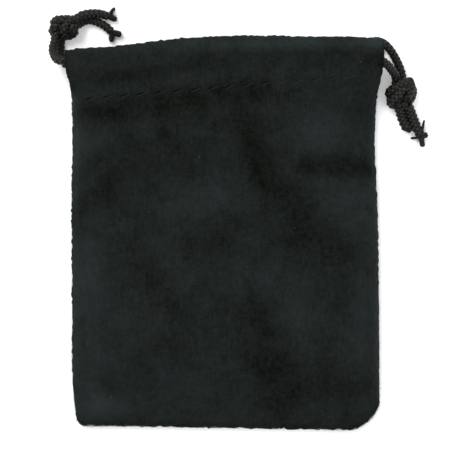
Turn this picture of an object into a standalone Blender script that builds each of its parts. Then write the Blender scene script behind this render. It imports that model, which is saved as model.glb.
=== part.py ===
"""A small velour drawstring bag for dice, lying on its back with its mouth towards +Y.

Two panels are sewn together along the sides and the bottom. The top of each is folded in and
stitched down as a hem, which makes a casing. Two cords run round the mouth through both casings:
the left one comes out of the left slit and bends back inside the right one, and the right cord is
its opposite. Each has its two ends tied together in one knot.
Metres, +Z up, with the origin on the floor under the middle of the bag.
"""

import math

import bmesh
import bpy
import numpy as np
from mathutils import Matrix, Vector

# The bag
HALF_WIDTH = 0.0497
BOTTOM = -0.06306
BOTTOM_RISE = 0.0008
CORNER_RADIUS = 0.0085
PANEL = 0.0010
HEM = 0.0008
GAP = 0.0003
EDGE_HEIGHT = 0.0045
BELLY_HEIGHT = 0.0112
BELLY_RUN = 0.026
MOUTH_OPENING = 0.0048
PANEL_COLUMNS, PANEL_ROWS = 22, 28

# The casing and its cords
CORD = 0.0025
CHANNEL = CORD + 2 * GAP
MOUTH_HEIGHT = 2 * (PANEL + CHANNEL + HEM) + MOUTH_OPENING
LOW_LANE = PANEL + GAP + CORD / 2
HIGH_LANE = MOUTH_HEIGHT - LOW_LANE
SLANT = math.radians(2.0)
FLAT_FROM = 0.0528
RISE_FROM = 0.0400
SLIT_FROM = 0.0448
HEM_END = 0.0442
STITCH_MIDDLE = 0.0469
STITCH_SLOPE = 0.084
STITCH_PITCH = 0.0056
STITCH_LIFT = 0.0003
STITCH_LEAN = 0.0008
THREAD = 0.0005
HEM_COLUMNS = 20
HEM_BELOW_STITCHES = 0.0012
HEM_STEP = 0.0025
HEM_BEND = 0.0004

# Seams and tacks
ALLOWANCE = 0.0039
SEAM_HEIGHT = 0.0018
SEAM_LEVEL = PANEL + GAP
SIDE_SEAM_ROWS = 16
SIDE_SEAM_START = BOTTOM + CORNER_RADIUS + 0.0035
SIDE_SEAM_TOP = SLIT_FROM - 2 * GAP
BOTTOM_SEAM_END = HALF_WIDTH - CORNER_RADIUS - 0.0005
TACK = Vector((0.0030, 0.0030, 0.0030))
TACK_INSET = 0.0004
SOFT_EDGE = 0.0004

# The outline: the sides as (y, x), the mouth's edge as (x, y)
LEFT_EDGE = [(-0.064, -0.0494), (-0.030, -0.0496), (0.010, -0.0498), (0.040, -0.0497), (0.048, -0.0502),
             (0.053, -0.0515), (0.0595, -0.0514)]
RIGHT_EDGE = [(-0.064, 0.0500), (-0.030, 0.0500), (0.010, 0.0494), (0.032, 0.0486), (0.044, 0.0494),
              (0.053, 0.0510), (0.063, 0.0516)]
MOUTH_EDGE = [(-0.0522, 0.0572), (-0.0513, 0.0582), (-0.0500, 0.0589), (-0.0475, 0.0593),
              (-0.0350, 0.0602), (-0.0175, 0.0624), (0.0065, 0.0637), (0.0250, 0.0634),
              (0.0450, 0.0630), (0.0516, 0.0622)]

# Where each cord's two runs lie across the mouth's middle, and how far along the casing they go
LEFT_FRONT_LANE = 0.05795
LEFT_BACK_LANE = 0.05545
RIGHT_FRONT_LANE = 0.05458
RIGHT_BACK_LANE = 0.05858
LEFT_RUN = (-0.048, 0.0452)
RIGHT_FAR = -0.0452
RIGHT_FRONT_START = 0.0465
RIGHT_BACK_START = 0.0420
RUN_POINTS = (0, 0.05, 0.35, 0.65, 0.95, 1)
BEND_ANGLES = tuple(math.radians(degrees) for degrees in (30, 60, 90, 120, 150))
POINT_EVERY = 0.0032
FINE_STEPS = 24

# The cords' loose ends, by hand: from the knot to the slit, and the tails from the knot to their ends
LEFT_FRONT_END = [(-0.0553, 0.0622, 0.0042), (-0.0559, 0.0598, 0.0056), (-0.0553, 0.0573, 0.0082),
                  (-0.0537, 0.0557, 0.0109), (-0.0513, 0.0557, 0.0120)]
LEFT_BACK_END = [(-0.0535, 0.0621, 0.0015), (-0.0535, 0.0602, 0.0013), (-0.0534, 0.0583, 0.0015),
                 (-0.0529, 0.0564, 0.0021), (-0.0515, 0.0546, 0.0026)]
RIGHT_FRONT_END = [(0.0555, 0.0508, 0.0052), (0.0543, 0.0524, 0.0071), (0.0525, 0.0544, 0.0098),
                   (0.0500, 0.0559, 0.0116)]
RIGHT_BACK_END = [(0.0575, 0.0517, 0.0020), (0.0566, 0.0543, 0.0015), (0.0555, 0.0566, 0.0014),
                  (0.0540, 0.0591, 0.0019), (0.0518, 0.0614, 0.0025), (0.0492, 0.0623, 0.0026),
                  (0.0468, 0.0616, 0.00255)]
LEFT_UPPER_TAIL = [(-0.0484, 0.0693, 0.0043), (-0.0466, 0.0705, 0.0040), (-0.0448, 0.0710, 0.0037),
                   (-0.0420, 0.0712, 0.0029), (-0.0401, 0.0710, 0.0020), (-0.0382, 0.0704, 0.0014)]
LEFT_LOWER_TAIL = [(-0.0472, 0.0679, 0.0022), (-0.0460, 0.0687, 0.0016), (-0.0440, 0.0691, 0.0013),
                   (-0.0416, 0.0685, 0.0013), (-0.0392, 0.0673, 0.0013), (-0.0370, 0.0654, 0.0013)]
RIGHT_INNER_TAIL = [(0.0568, 0.0405, 0.0028), (0.0573, 0.0385, 0.0018), (0.0580, 0.0365, 0.0014),
                    (0.0588, 0.0349, 0.0014), (0.0595, 0.0338, 0.0014)]
RIGHT_OUTER_TAIL = [(0.0596, 0.0410, 0.0030), (0.0606, 0.0386, 0.0020), (0.0615, 0.0362, 0.0014),
                    (0.0625, 0.0338, 0.0013), (0.0636, 0.0314, 0.0013)]
LEFT_KNOT = Vector((-0.0524, 0.0665, 0.0037))
LEFT_KNOT_RADII = Vector((0.0047, 0.0032, 0.0034))
LEFT_KNOT_TURN = math.radians(15)
RIGHT_KNOT = Vector((0.0572, 0.0457, 0.0039))
RIGHT_KNOT_RADII = Vector((0.0050, 0.0044, 0.0036))
RIGHT_KNOT_TURN = math.radians(70)
KNOT_RIDGE = 0.06
KNOT_WRAPS = 3
KNOT_TWIST = 2.0


def clear_scene():
    for thing in list(bpy.data.objects):
        bpy.data.objects.remove(thing, do_unlink=True)


def material(name, colour, roughness):
    made = bpy.data.materials.new(name)
    made.use_nodes = True
    shader = made.node_tree.nodes["Principled BSDF"]
    shader.inputs["Base Color"].default_value = (*colour, 1.0)
    shader.inputs["Roughness"].default_value = roughness
    shader.inputs["Metallic"].default_value = 0.0
    return made


def add(name, data, finish):
    thing = bpy.data.objects.new(name, data)
    bpy.context.scene.collection.objects.link(thing)
    data.materials.append(finish)
    return thing


def from_bmesh(name, shape, finish):
    bmesh.ops.recalc_face_normals(shape, faces=shape.faces)
    mesh = bpy.data.meshes.new(name)
    shape.to_mesh(mesh)
    shape.free()
    mesh.shade_smooth()
    mesh.set_sharp_from_angle(angle=math.radians(40))
    return add(name, mesh, finish)


def smoothstep(low, high, value):
    t = min(1.0, max(0.0, (value - low) / (high - low)))
    return t * t * (3 - 2 * t)


def through(points, value):
    """A smooth curve through (position, height) points, read at one position."""
    places = [place for place, _ in points]
    heights = [height for _, height in points]
    slopes = np.gradient(heights, places)
    value = min(places[-1], max(places[0], value))
    i = min(len(places) - 2, max(0, int(np.searchsorted(places, value)) - 1))
    width = places[i + 1] - places[i]
    t = (value - places[i]) / width
    start, end = heights[i], heights[i + 1]
    return (
        (2 * t**3 - 3 * t**2 + 1) * start
        + (t**3 - 2 * t**2 + t) * width * slopes[i]
        + (3 * t**2 - 2 * t**3) * end
        + (t**3 - t**2) * width * slopes[i + 1]
    )


def across(y, side, inset=0.0):
    """The x at this height of the bag, side running from 0 at the left edge to 1 at the right."""
    left = through(LEFT_EDGE, y) + inset
    right = through(RIGHT_EDGE, y) - inset
    return left + side * (right - left)


def bottom_y(x, inset=0.0):
    half, radius = HALF_WIDTH - inset, CORNER_RADIUS - inset
    into_corner = min(radius, max(0.0, abs(x) - (half - radius)))
    return BOTTOM + inset - BOTTOM_RISE * x / HALF_WIDTH + radius - math.sqrt(radius**2 - into_corner**2)


def mouth_y(x):
    return through(MOUTH_EDGE, x)


def up_casing(x, y):
    """How far up the bag a point is, counted along the casing's own slant."""
    return y - math.tan(SLANT) * x


def stitch_y(x):
    return STITCH_MIDDLE + STITCH_SLOPE * x


def front_height(x, y):
    """The outer face of the front panel: a low pillow, flat across the casing."""
    out = min(1.0, abs(2 * (x - across(y, 0)) / (across(y, 1) - across(y, 0)) - 1))
    crown = math.sqrt(max(0.0, 1 - out**4))
    from_bottom = smoothstep(0, BELLY_RUN, y - BOTTOM)
    up = up_casing(x, y)
    belly = BELLY_HEIGHT + (MOUTH_HEIGHT - BELLY_HEIGHT) * smoothstep(0, FLAT_FROM, up)
    pillow = EDGE_HEIGHT + (belly - EDGE_HEIGHT) * crown * from_bottom
    return pillow + (MOUTH_HEIGHT - pillow) * smoothstep(RISE_FROM, FLAT_FROM, up)


def closer_at_ends(i, count):
    """A share of a length, from 0 to 1, with the steps shorter towards both ends."""
    return 0.5 - 0.5 * math.cos(math.pi * i / count)


def panel_grid(inset):
    """Points of a panel's outline and inside, as rows from the bottom edge to the mouth."""
    grid = []
    for j in range(PANEL_ROWS + 1):
        up = closer_at_ends(j, PANEL_ROWS)
        row = []
        for i in range(PANEL_COLUMNS + 1):
            side = closer_at_ends(i, PANEL_COLUMNS)
            guess = (2 * side - 1) * (HALF_WIDTH - inset)
            low, high = bottom_y(guess, inset), mouth_y(guess)
            y = low + up * (high - low)
            row.append((across(y, side, inset), y))
        grid.append(row)
    return grid


def quads(shape, first, second):
    """Faces between two rows of vertices of equal length."""
    for i in range(len(first) - 1):
        shape.faces.new((first[i], first[i + 1], second[i + 1], second[i]))


def rim_of(rows):
    """The grid's edge from the mouth's left end, round the bottom, to the mouth's right end."""
    left = [row[0] for row in reversed(rows)]
    right = [row[-1] for row in rows]
    return left + rows[0][1:-1] + right


def make_front_panel(finish):
    """A shell whose rim comes down to the back panel, except along the slits and the mouth."""
    shape = bmesh.new()
    outer = [[shape.verts.new((x, y, front_height(x, y))) for x, y in row] for row in panel_grid(0.0)]
    inner = [[shape.verts.new((x, y, front_height(x, y) - PANEL)) for x, y in row]
             for row in panel_grid(PANEL)]
    for grid in (outer, inner):
        for low, high in zip(grid, grid[1:]):
            quads(shape, low, high)

    outer_rim, inner_rim = rim_of(outer), rim_of(inner)
    outer_foot, inner_foot = [], []
    for out, within in zip(outer_rim, inner_rim):
        open_slit = smoothstep(SLIT_FROM - 0.001, SLIT_FROM, up_casing(within.co.x, within.co.y))
        foot = SEAM_LEVEL + (within.co.z - SEAM_LEVEL) * open_slit
        outer_foot.append(shape.verts.new((out.co.x, out.co.y, foot)))
        inner_foot.append(shape.verts.new((within.co.x, within.co.y, foot)))
    quads(shape, outer_rim, outer_foot)
    quads(shape, outer_foot, inner_foot)
    quads(shape, inner_foot, inner_rim)

    quads(shape, outer[-1], inner[-1])
    for end in (0, -1):
        shape.faces.new((outer_rim[end], outer_foot[end], inner_foot[end], inner_rim[end]))
    bmesh.ops.remove_doubles(shape, verts=shape.verts, dist=1e-7)
    bmesh.ops.dissolve_degenerate(shape, edges=shape.edges, dist=1e-7)
    return from_bmesh("front_panel", shape, finish)


def make_back_panel(finish):
    grid = panel_grid(0.0)
    ring = rim_of(grid) + grid[-1][-2:0:-1]
    shape = bmesh.new()
    face = shape.faces.new([shape.verts.new((x, y, 0.0)) for x, y in ring])
    raised = bmesh.ops.extrude_face_region(shape, geom=[face])
    corners = [item for item in raised["geom"] if isinstance(item, bmesh.types.BMVert)]
    bmesh.ops.translate(shape, verts=corners, vec=(0, 0, PANEL))
    return from_bmesh("back_panel", shape, finish)


def make_hem(name, front, finish):
    """The folded-in end of a panel: sewn down along its lower edge, with a channel for the cords."""
    depth = CHANNEL - GAP
    shape = bmesh.new()
    rows = []
    for i in range(HEM_COLUMNS + 1):
        x = HEM_END * (2 * i / HEM_COLUMNS - 1)
        fold = mouth_y(x) - HEM
        channel = FLAT_FROM - HEM_BEND + math.tan(SLANT) * x
        lower, step = stitch_y(x) - HEM_BELOW_STITCHES, channel - HEM_STEP
        profile = [(lower, GAP), ((lower + step) / 2, GAP), (step, GAP),
                   (channel - 2 * HEM_BEND, 0.9 * depth), (channel + HEM_BEND, depth),
                   ((channel + fold) / 2, depth), (fold - HEM_BEND, depth), (fold, depth - HEM_BEND),
                   (fold, 0.0)]
        row = []
        for y, drop in profile:
            under = front_height(x, y) - PANEL if front else MOUTH_HEIGHT - PANEL
            height = under - GAP - drop
            row.append(shape.verts.new((x, y, height if front else MOUTH_HEIGHT - height)))
        rows.append(row)
    for one, other in zip(rows, rows[1:]):
        quads(shape, one, other)
    bmesh.ops.recalc_face_normals(shape, faces=shape.faces)
    upward = sum(face.normal.z for face in shape.faces) > 0
    if upward != front:
        bmesh.ops.reverse_faces(shape, faces=shape.faces)
    mesh = bpy.data.meshes.new(name)
    shape.to_mesh(mesh)
    shape.free()
    mesh.shade_smooth()
    mesh.set_sharp_from_angle(angle=math.radians(50))
    hem = add(name, mesh, finish)
    cloth = hem.modifiers.new("cloth", "SOLIDIFY")
    cloth.thickness = HEM
    cloth.offset = -1
    cloth.use_even_offset = True
    return hem


def make_tube(name, points, diameter, finish, sides=2):
    """A round cord or thread along these points, with flat ends."""
    curve = bpy.data.curves.new(name, "CURVE")
    curve.dimensions = "3D"
    curve.bevel_depth = diameter / 2
    curve.bevel_resolution = sides
    curve.use_fill_caps = True
    spline = curve.splines.new("POLY")
    spline.points.add(len(points) - 1)
    for slot, point in zip(spline.points, points):
        slot.co = (*point, 1.0)
    return add(name, curve, finish)


def make_stitching(name, front, finish):
    """One row of lock stitches: long ones lying on the cloth, with a dip between each two."""
    count = int(2 * HEM_END / STITCH_PITCH)
    points = []
    for i in range(count):
        for step, lift in ((0.0, 0.0), (0.3, STITCH_LIFT), (0.7, STITCH_LIFT)):
            x = (i + step) * STITCH_PITCH - HEM_END
            y = stitch_y(x) + STITCH_LEAN * (step - 0.35)
            on_front = front_height(x, y) + GAP + THREAD / 2
            in_back = SEAM_LEVEL + HEM + 2 * GAP + THREAD / 2
            points.append(Vector((x, y, (on_front if front else in_back) + lift)))
    return make_tube(name, points, THREAD, finish, sides=0)


def smooth_route(points, spacing):
    """A centripetal Catmull-Rom curve through the points, read at even steps along it."""
    points = [Vector(p) for p in points]
    points = [2 * points[0] - points[1], *points, 2 * points[-1] - points[-2]]
    fine = []
    for a, b, c, d in zip(points, points[1:], points[2:], points[3:]):
        t1 = (b - a).length ** 0.5
        t2 = t1 + (c - b).length ** 0.5
        t3 = t2 + (d - c).length ** 0.5
        for step in range(FINE_STEPS):
            t = t1 + (t2 - t1) * step / FINE_STEPS
            ab = a + (b - a) * (t / t1)
            bc = b + (c - b) * ((t - t1) / (t2 - t1))
            cd = c + (d - c) * ((t - t2) / (t3 - t2))
            abc = ab + (bc - ab) * (t / t2)
            bcd = bc + (cd - bc) * ((t - t1) / (t3 - t1))
            fine.append(abc + (bcd - abc) * ((t - t1) / (t2 - t1)))
    fine.append(points[-2])
    along = np.concatenate([[0], np.cumsum([(q - p).length for p, q in zip(fine, fine[1:])])])
    count = max(2, round(along[-1] / spacing) + 1)
    even = np.linspace(0, along[-1], count)
    return [Vector([np.interp(s, along, [p[axis] for p in fine]) for axis in range(3)]) for s in even]


def on_lane(lane, height, distance):
    return Vector((distance * math.cos(SLANT), lane + distance * math.sin(SLANT), height))


def run(lane, height, start, end):
    """Points along one straight run through a casing."""
    return [on_lane(lane, height, start + (end - start) * t) for t in RUN_POINTS]


def far_bend(front_end, back_end, outward):
    """The half circle in the far slit, from the front casing round into the back one."""
    middle = (front_end + back_end) / 2
    arm = front_end - middle
    reach = Vector((outward * math.cos(SLANT), outward * math.sin(SLANT), 0)) * arm.length
    return [middle + arm * math.cos(angle) + reach * math.sin(angle) for angle in BEND_ANGLES]


def cord_route(front_end, front_run, back_run, back_end, outward):
    bend = far_bend(front_run[-1], back_run[0], outward)
    return smooth_route([*front_end, *front_run, *bend, *back_run, *reversed(back_end)], POINT_EVERY)


def left_cord_route():
    start, end = LEFT_RUN
    return cord_route(LEFT_FRONT_END, run(LEFT_FRONT_LANE, HIGH_LANE, start, end),
                      run(LEFT_BACK_LANE, LOW_LANE, end, start), LEFT_BACK_END, 1)


def right_cord_route():
    return cord_route(RIGHT_FRONT_END, run(RIGHT_FRONT_LANE, HIGH_LANE, RIGHT_FRONT_START, RIGHT_FAR),
                      run(RIGHT_BACK_LANE, LOW_LANE, RIGHT_FAR, RIGHT_BACK_START), RIGHT_BACK_END, -1)


def make_knot(name, centre, radii, turn, finish):
    """An overhand knot's outer shape: an egg with the wraps as low ridges round it."""
    shape = bmesh.new()
    bmesh.ops.create_uvsphere(shape, u_segments=24, v_segments=14, radius=1.0)
    for vert in shape.verts:
        angle = math.atan2(vert.co.y, vert.co.x)
        wave = 1 - KNOT_RIDGE + KNOT_RIDGE * math.cos(KNOT_WRAPS * angle + KNOT_TWIST * vert.co.z)
        vert.co = Vector(c * r * wave for c, r in zip(vert.co, radii))
    bmesh.ops.transform(shape, matrix=Matrix.Translation(centre) @ Matrix.Rotation(turn, 4, "Z"),
                        verts=shape.verts)
    return from_bmesh(name, shape, finish)


def make_bar(name, low, high, slant, finish):
    """A block between two corners, its rows shifted along the casing's slant if asked."""
    shape = bmesh.new()
    bmesh.ops.create_cube(shape, size=1.0)
    for vert in shape.verts:
        vert.co = Vector(low[i] + (vert.co[i] + 0.5) * (high[i] - low[i]) for i in range(3))
        vert.co.y += slant * vert.co.x
    bar = from_bmesh(name, shape, finish)
    soft = bar.modifiers.new("soft edges", "BEVEL")
    soft.width = SOFT_EDGE
    soft.segments = 2
    return bar


def make_side_seam(name, side, finish):
    """The sewn allowances inside a side edge, a strip that follows it up to the slit."""
    inward = 1 if side == 0 else -1
    low, high = SEAM_LEVEL, SEAM_LEVEL + SEAM_HEIGHT
    shape = bmesh.new()
    rings = []
    for j in range(SIDE_SEAM_ROWS + 1):
        t = j / SIDE_SEAM_ROWS
        at_x = across(SIDE_SEAM_START + t * (SIDE_SEAM_TOP - SIDE_SEAM_START), side)
        y = SIDE_SEAM_START + t * (SIDE_SEAM_TOP + math.tan(SLANT) * at_x - SIDE_SEAM_START)
        near = across(y, side) + inward * (PANEL + GAP)
        far = near + inward * ALLOWANCE
        corners = ((near, y, low), (far, y, low), (far, y, high), (near, y, high))
        rings.append([shape.verts.new(corner) for corner in corners])
    for ring, following in zip(rings, rings[1:]):
        quads(shape, [*ring, ring[0]], [*following, following[0]])
    shape.faces.new(rings[0])
    shape.faces.new(rings[-1])
    return from_bmesh(name, shape, finish)


def make_tack(name, side, finish):
    """The bar tack that closes the lower end of a slit."""
    slant = math.tan(SLANT)
    edge = across(SLIT_FROM + slant * across(SLIT_FROM, side), side)
    inward = 1 if side == 0 else -1
    low = Vector((edge + inward * TACK_INSET, SLIT_FROM + GAP, SEAM_LEVEL))
    high = low + Vector((inward * TACK.x, TACK.y, TACK.z))
    corners = [Vector(pick(a, b) for a, b in zip(low, high)) for pick in (min, max)]
    return make_bar(name, *corners, slant, finish)


def make_bottom_seam(finish):
    """The sewn allowances inside the bottom edge, between the two round corners."""
    near = BOTTOM + BOTTOM_RISE + PANEL + GAP
    make_bar("bottom_seam", (-BOTTOM_SEAM_END, near, SEAM_LEVEL),
             (BOTTOM_SEAM_END, near + ALLOWANCE, SEAM_LEVEL + SEAM_HEIGHT), 0.0, finish)


def build():
    clear_scene()
    velour = material("black velour", (0.013, 0.016, 0.0145), 0.9)
    cloth_back = material("velour back", (0.010, 0.012, 0.011), 0.85)
    thread = material("black thread", (0.018, 0.021, 0.020), 0.6)
    braid = material("black braid", (0.016, 0.016, 0.014), 0.55)

    make_front_panel(velour)
    make_back_panel(velour)
    make_hem("front_hem", True, cloth_back)
    make_hem("back_hem", False, cloth_back)
    make_stitching("front_stitching", True, thread)
    make_stitching("back_stitching", False, thread)
    make_side_seam("left_side_seam", 0, cloth_back)
    make_side_seam("right_side_seam", 1, cloth_back)
    make_bottom_seam(cloth_back)
    make_tack("left_slit_tack", 0, thread)
    make_tack("right_slit_tack", 1, thread)

    make_tube("left_cord", left_cord_route(), CORD, braid)
    make_tube("right_cord", right_cord_route(), CORD, braid)
    make_knot("left_knot", LEFT_KNOT, LEFT_KNOT_RADII, LEFT_KNOT_TURN, braid)
    make_knot("right_knot", RIGHT_KNOT, RIGHT_KNOT_RADII, RIGHT_KNOT_TURN, braid)
    for name, route in (("left_upper_tail", LEFT_UPPER_TAIL), ("left_lower_tail", LEFT_LOWER_TAIL),
                        ("right_inner_tail", RIGHT_INNER_TAIL), ("right_outer_tail", RIGHT_OUTER_TAIL)):
        make_tube(name, smooth_route(route, POINT_EVERY / 2), CORD, braid)


build()
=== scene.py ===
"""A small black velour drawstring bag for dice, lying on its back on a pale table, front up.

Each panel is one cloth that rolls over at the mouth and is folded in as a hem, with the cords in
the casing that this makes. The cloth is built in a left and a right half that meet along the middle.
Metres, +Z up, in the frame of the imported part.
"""

import math
import random

import bmesh
import bpy
import numpy as np
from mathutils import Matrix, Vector, noise
from mathutils.bvhtree import BVHTree


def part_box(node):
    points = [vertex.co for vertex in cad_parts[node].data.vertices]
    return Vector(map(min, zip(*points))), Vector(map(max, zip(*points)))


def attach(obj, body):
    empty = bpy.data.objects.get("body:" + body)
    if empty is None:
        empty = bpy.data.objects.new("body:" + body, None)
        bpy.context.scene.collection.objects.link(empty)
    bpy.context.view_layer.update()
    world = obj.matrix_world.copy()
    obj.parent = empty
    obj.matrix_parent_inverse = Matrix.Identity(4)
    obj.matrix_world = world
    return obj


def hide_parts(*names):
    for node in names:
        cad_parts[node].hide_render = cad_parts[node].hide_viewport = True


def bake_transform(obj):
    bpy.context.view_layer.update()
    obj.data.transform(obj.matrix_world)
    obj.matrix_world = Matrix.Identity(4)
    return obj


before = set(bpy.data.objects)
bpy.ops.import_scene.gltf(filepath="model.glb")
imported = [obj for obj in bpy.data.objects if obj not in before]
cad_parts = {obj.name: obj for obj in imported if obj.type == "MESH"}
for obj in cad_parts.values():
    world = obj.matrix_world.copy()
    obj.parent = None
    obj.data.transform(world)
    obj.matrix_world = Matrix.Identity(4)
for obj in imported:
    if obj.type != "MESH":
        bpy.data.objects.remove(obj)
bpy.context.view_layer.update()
MM = 0.001

# The bag's measures, close to those of the part's source
HALF_WIDTH = 0.0497
BOTTOM = -0.0635
BOTTOM_RISE = 0.0008
CORNER_RADIUS = 0.0095
LEFT_CORNER = 0.0026
CHAMFERED = 1.62
PANEL = 0.0010
HEM = 0.0008
GAP = 0.0003
EDGE_HEIGHT = 0.0045
BELLY_HEIGHT = 0.0112
BELLY_RUN = 0.026
MOUTH_OPENING = 0.0048
CORD = 0.0025
CHANNEL = CORD + 2 * GAP
CASING = PANEL + CHANNEL + HEM
MOUTH_HEIGHT = 2 * CASING + MOUTH_OPENING
LOW_LANE = PANEL + GAP + CORD / 2
HIGH_LANE = MOUTH_HEIGHT - LOW_LANE
SLANT = math.radians(2.0)
FLAT_FROM = 0.0528
RISE_FROM = 0.0400
SLIT_FROM = 0.0448
STITCH_MIDDLE = 0.0469
STITCH_SLOPE = 0.084
STITCH_PITCH = 0.0056
LEFT_EDGE = [(-0.064, -0.0476), (-0.0606, -0.0482), (-0.0545, -0.0490), (-0.045, -0.0496), (-0.030, -0.0496),
             (0.010, -0.0498), (0.040, -0.0497), (0.048, -0.0502), (0.053, -0.0515), (0.0595, -0.0514)]
RIGHT_EDGE = [(-0.064, 0.0502), (-0.030, 0.0500), (0.010, 0.0494), (0.032, 0.0486), (0.044, 0.0494),
              (0.053, 0.0510), (0.063, 0.0516)]
MOUTH_EDGE = [(-0.0522, 0.0572), (-0.0513, 0.0582), (-0.0500, 0.0589), (-0.0475, 0.0593),
              (-0.0350, 0.0602), (-0.0175, 0.0624), (0.0065, 0.0637),
              (0.0250, 0.0634), (0.0450, 0.0630), (0.0516, 0.0622)]

# The cords' routes, as in the part's source
LEFT_FRONT_LANE = 0.05795
LEFT_BACK_LANE = 0.05545
RIGHT_FRONT_LANE = 0.05458
RIGHT_BACK_LANE = 0.05858
LEFT_RUN = (-0.048, 0.0452)
RIGHT_FAR = -0.0452
RIGHT_FRONT_START = 0.0465
RIGHT_BACK_START = 0.0420
RUN_POINTS = (0, 0.05, 0.35, 0.65, 0.95, 1)
BEND_ANGLES = (30, 60, 90, 120, 150)
FINE_STEPS = 24
ROUTE_STEP = 0.0002
LEFT_FRONT_END = [(-0.0553, 0.0622, 0.0042), (-0.0559, 0.0598, 0.0056), (-0.0553, 0.0573, 0.0082),
                  (-0.0537, 0.0557, 0.0109), (-0.0513, 0.0557, 0.0120)]
LEFT_BACK_END = [(-0.0535, 0.0621, 0.0015), (-0.0535, 0.0602, 0.0013), (-0.0534, 0.0583, 0.0015),
                 (-0.0529, 0.0564, 0.0021), (-0.0515, 0.0546, 0.0026)]
RIGHT_FRONT_END = [(0.0555, 0.0508, 0.0052), (0.0543, 0.0524, 0.0071), (0.0525, 0.0544, 0.0098),
                   (0.0500, 0.0559, 0.0116)]
RIGHT_BACK_END = [(0.0575, 0.0517, 0.0020), (0.0566, 0.0543, 0.0015), (0.0555, 0.0566, 0.0014),
                  (0.0540, 0.0591, 0.0019), (0.0518, 0.0614, 0.0025), (0.0492, 0.0623, 0.0026),
                  (0.0468, 0.0616, 0.00255)]
LEFT_UPPER_TAIL = [(-0.0484, 0.0693, 0.0043), (-0.0466, 0.0705, 0.0040), (-0.0448, 0.0710, 0.0037),
                   (-0.0420, 0.0712, 0.0029), (-0.0401, 0.0710, 0.0020), (-0.0382, 0.0704, 0.0014)]
LEFT_LOWER_TAIL = [(-0.0472, 0.0679, 0.0022), (-0.0460, 0.0687, 0.0016), (-0.0440, 0.0691, 0.0013),
                   (-0.0416, 0.0685, 0.0013), (-0.0392, 0.0673, 0.0013), (-0.0370, 0.0654, 0.0013)]
RIGHT_INNER_TAIL = [(0.0568, 0.0405, 0.0028), (0.0573, 0.0385, 0.0018), (0.0580, 0.0365, 0.0014),
                    (0.0588, 0.0349, 0.0014), (0.0595, 0.0338, 0.0014)]
RIGHT_OUTER_TAIL = [(0.0596, 0.0410, 0.0030), (0.0606, 0.0386, 0.0020), (0.0615, 0.0362, 0.0014),
                    (0.0625, 0.0338, 0.0013), (0.0636, 0.0314, 0.0013)]

# The pair of strands through each knot, in mm: where their middle goes, and how far from it the first one is
LEFT_KNOT_PATH = [((-53.9, 64.6, 3.0), (-1.0, 0.3, 0.9)), ((-52.0, 66.8, 3.0), (-0.9, 0.7, 0.2)),
                  ((-50.4, 68.6, 3.1), (-0.5, 0.6, 0.7)), ((-52.4, 68.8, 4.6), (0.1, 0.3, 1.0)),
                  ((-54.7, 68.0, 5.2), (0.5, 1.1, 0.3)), ((-55.7, 66.8, 3.6), (0.2, 1.35, 0.0)),
                  ((-54.4, 65.6, 1.8), (-0.2, 1.2, 0.0)), ((-52.0, 64.9, 1.6), (-0.9, 0.9, 0.0)),
                  ((-50.5, 64.6, 3.2), (-1.45, -0.5, 0.0)), ((-51.0, 66.2, 5.4), (-1.3, 0.0, 0.1)),
                  ((-49.8, 67.9, 4.9), (-0.8, 0.9, 0.3))]
RIGHT_KNOT_PATH = [((56.7, 48.8, 3.2), (-1.1, -0.2, 0.9)), ((57.9, 45.0, 3.3), (-1.0, 0.2, 0.4)),
                   ((58.5, 43.3, 2.5), (-0.6, 0.8, 0.5)), ((59.9, 43.9, 3.1), (-0.4, 0.5, 0.9)),
                   ((60.7, 46.3, 3.7), (-0.35, 0.0, 1.1)), ((60.0, 48.2, 4.7), (0.0, 0.7, 0.8)),
                   ((58.2, 47.7, 5.7), (0.35, 1.05, 0.1)), ((55.3, 45.7, 5.5), (-0.5, 1.15, 0.1)),
                   ((53.6, 43.9, 3.8), (-0.3, 1.25, 0.0)), ((54.9, 42.6, 1.9), (0.1, 1.1, 0.0)),
                   ((56.8, 42.4, 2.4), (-0.9, 0.6, 0.0))]


# ---------------------------------------------------------------- shapes of the bag

def smoothstep(low, high, value):
    t = np.clip((value - low) / (high - low), 0.0, 1.0)
    return t * t * (3 - 2 * t)


def bell(value, width):
    return np.exp(-(value / width) ** 2)


def noise_at(*places):
    """Smooth noise from -1 to 1, at places given as arrays or numbers, one for each axis."""
    x, y, z = np.broadcast_arrays(*places)
    return np.array([noise.noise(Vector(p)) for p in zip(x.ravel(), y.ravel(), z.ravel())]).reshape(x.shape)


def through(points, value):
    """A smooth curve through (position, height) points, read at these positions."""
    places, heights = np.array(points).T
    slopes = np.gradient(heights, places)
    value = np.clip(value, places[0], places[-1])
    i = np.clip(np.searchsorted(places, value) - 1, 0, len(places) - 2)
    width = places[i + 1] - places[i]
    t = (value - places[i]) / width
    return ((2 * t**3 - 3 * t**2 + 1) * heights[i] + (t**3 - 2 * t**2 + t) * width * slopes[i]
            + (3 * t**2 - 2 * t**3) * heights[i + 1] + (t**3 - t**2) * width * slopes[i + 1])


def mouth_y(x):
    return through(MOUTH_EDGE, x)


def corner_radius(x):
    return np.where(x < 0, LEFT_CORNER, CORNER_RADIUS)


def corner_power(x):
    """2 is a round corner, and less is a flatter one."""
    return np.where(x < 0, 2.0, CHAMFERED)


def bottom_y(x):
    radius, power = corner_radius(x), corner_power(x)
    into_corner = np.clip(np.abs(x) - (HALF_WIDTH - radius), 0, radius)
    up_corner = (radius**power - into_corner**power) ** (1 / power)
    return BOTTOM - BOTTOM_RISE * x / HALF_WIDTH + radius - up_corner


def stitch_y(x):
    return STITCH_MIDDLE + STITCH_SLOPE * x


def up_casing(x, y):
    return y - math.tan(SLANT) * x


def points_at(x, y, z):
    """Points side by side, from a row of numbers, or one number for all, for each axis."""
    return np.stack(np.broadcast_arrays(x, y, z), axis=1)


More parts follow.
